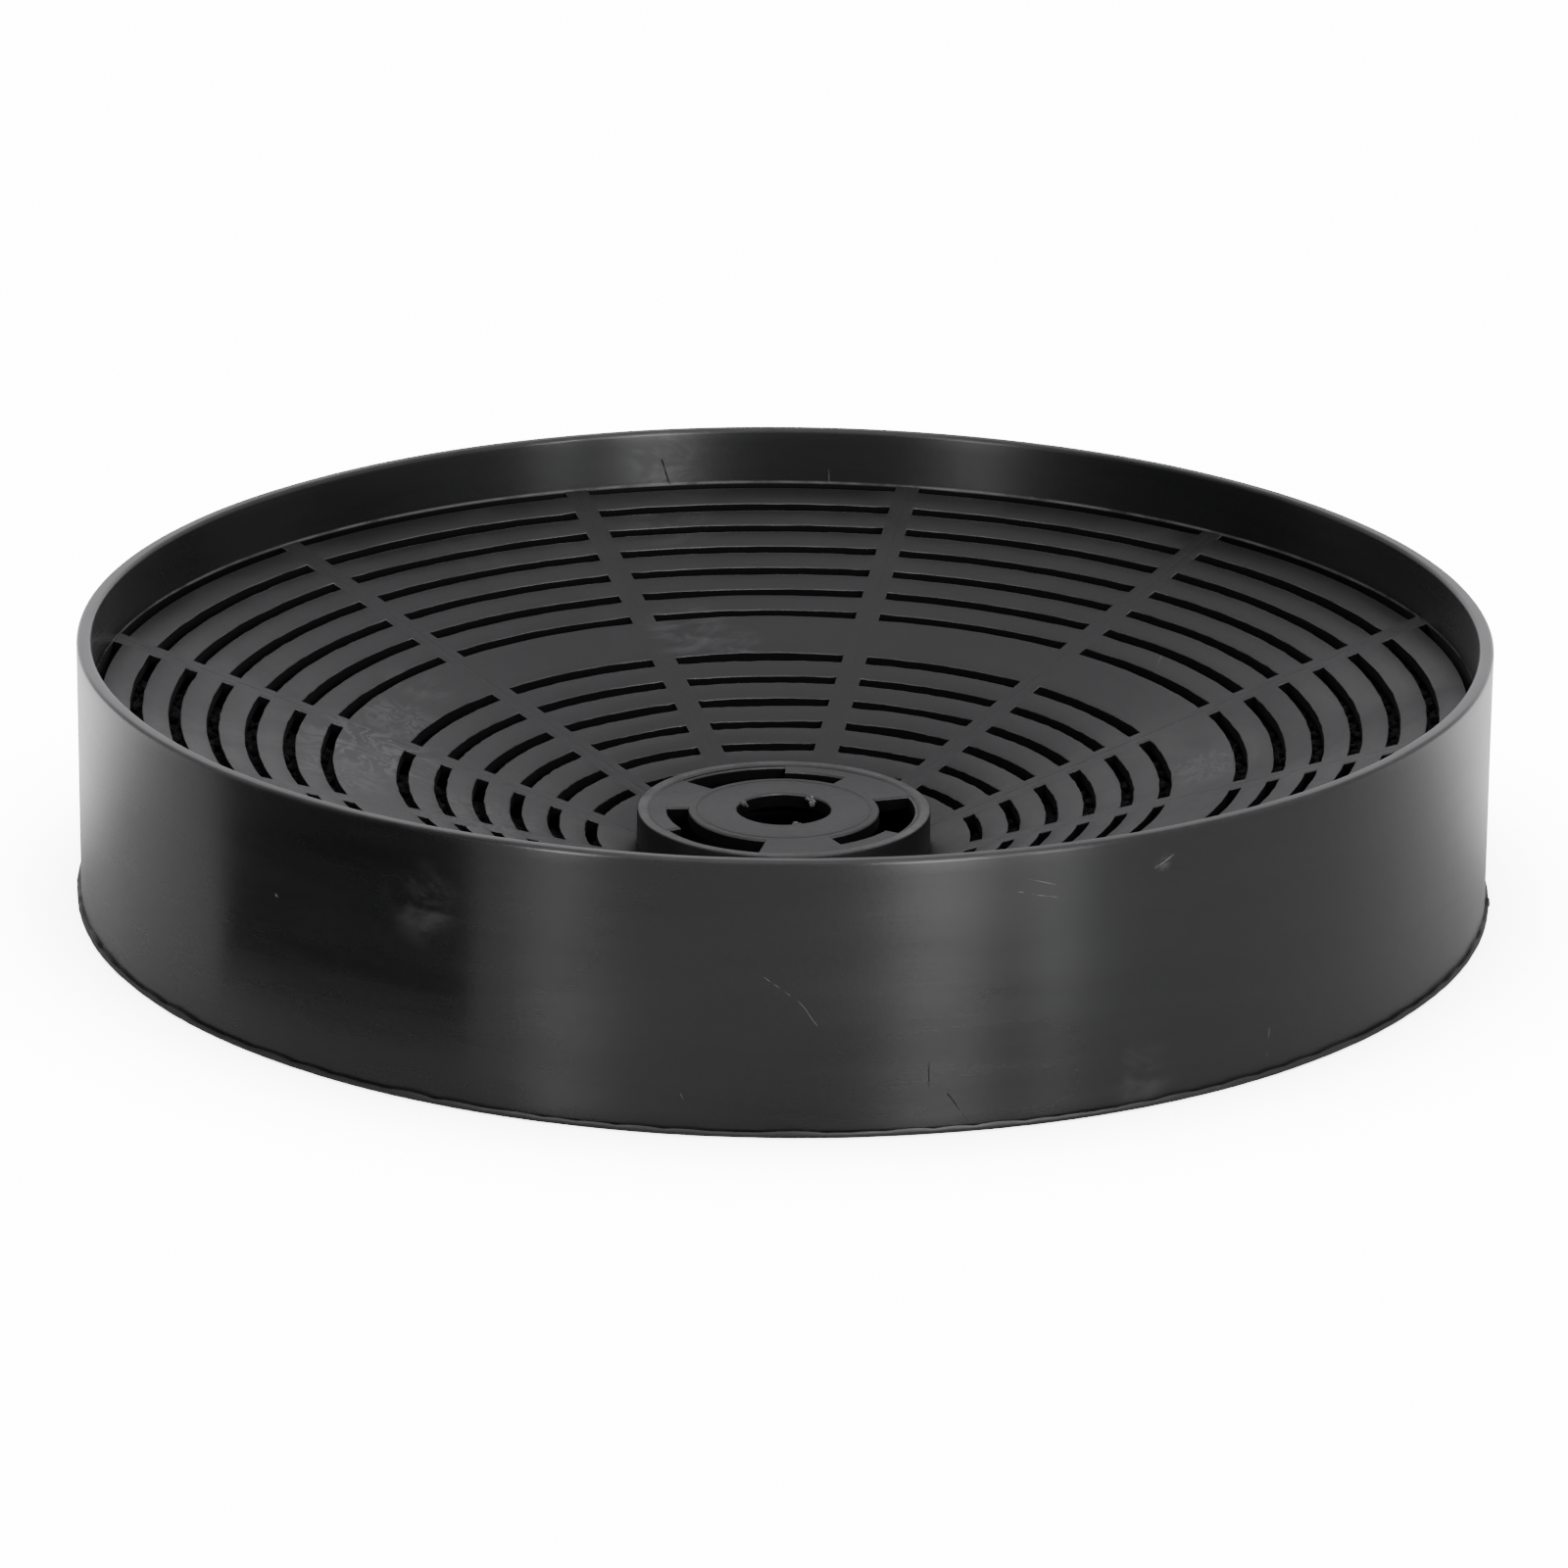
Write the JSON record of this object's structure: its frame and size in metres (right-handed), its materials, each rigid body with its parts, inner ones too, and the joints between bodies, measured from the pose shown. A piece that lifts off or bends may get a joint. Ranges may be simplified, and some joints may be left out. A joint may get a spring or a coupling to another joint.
{
  "type": "cooker hood charcoal filter",
  "caption": "Round charcoal filter cartridge for a cooker hood, with a dished slotted grille and a central keyhole bayonet hub.",
  "frame": {"origin": "centre of the bottom face, on the plane that the cartridge stands on", "axes": "+Z is the cartridge's axis and points out of the dished side with the hub; +X lies along a spoke"},
  "size_m": [0.21, 0.21, 0.04],
  "materials": {
    "wall_plastic": "satin black polypropylene, rubbed on the rim",
    "grille_plastic": "satin black polypropylene with flow marks",
    "hub_plastic": "satin black polypropylene",
    "rib_plastic": "satin black polypropylene",
    "cover_plastic": "satin black polypropylene",
    "fleece": "needled dark grey polyester fleece",
    "charcoal": "dull broken charcoal granules"
  },
  "bodies": {
    "root": {"casing_wall": "wall_plastic", "front_grille": "grille_plastic", "bayonet_hub": "hub_plastic", "partition_frame": "rib_plastic", "rear_cover": "cover_plastic", "dust_fleece": "fleece", "charcoal_charge_01": "charcoal", "charcoal_charge_02": "charcoal", "charcoal_charge_03": "charcoal", "charcoal_charge_04": "charcoal", "charcoal_charge_05": "charcoal", "charcoal_charge_06": "charcoal", "charcoal_charge_07": "charcoal", "charcoal_charge_08": "charcoal", "charcoal_charge_09": "charcoal", "charcoal_charge_10": "charcoal", "charcoal_charge_11": "charcoal", "charcoal_charge_12": "charcoal"}
  },
  "joints": []
}
